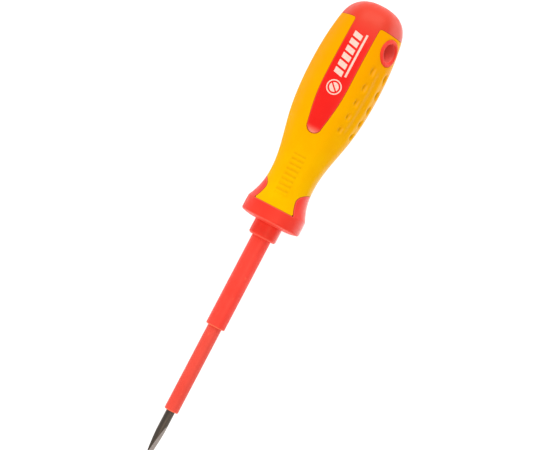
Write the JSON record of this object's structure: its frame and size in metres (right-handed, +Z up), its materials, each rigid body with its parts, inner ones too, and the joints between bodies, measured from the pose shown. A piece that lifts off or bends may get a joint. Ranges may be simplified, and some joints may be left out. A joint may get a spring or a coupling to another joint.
{
  "type": "insulated slotted screwdriver",
  "caption": "Slotted screwdriver with a sleeved, insulated blade and a soft-grip moulded handle with a finger guard and a hang hole.",
  "frame": {"origin": "bottom centre of the bounding box: on the table under the middle of the tool's length, with the tool lying on the belly of its handle and on its guard, back panel down", "axes": "+X along the tool from the butt towards the blade's tip, which dips by about 2 degrees as the tool rests; +Z up off the table, out of the front panel; +Y across, on the side where the hang hole's upper mouth opens"},
  "size_m": [0.2088, 0.0322, 0.0313],
  "materials": {
    "blade_steel": "dark browned chrome-vanadium steel, satin, tip ground brighter",
    "inner_insulation": "satin moulded insulation, slightly paler red",
    "outer_insulation": "satin moulded insulation, red",
    "red_plastic": "smooth red moulded plastic",
    "core_plastic": "hard inner plastic, dark red, seen only inside",
    "yellow_grip": "soft moulded elastomer, satin, warm yellow"
  },
  "bodies": {
    "root": {"blade": "blade_steel", "inner_sleeve": "inner_insulation", "outer_sleeve": "outer_insulation", "nose_collar": "red_plastic", "finger_guard": "red_plastic", "handle_core": "core_plastic", "soft_grip": "yellow_grip", "butt_cap": "red_plastic", "hang_hole_bush": "red_plastic"}
  },
  "joints": []
}
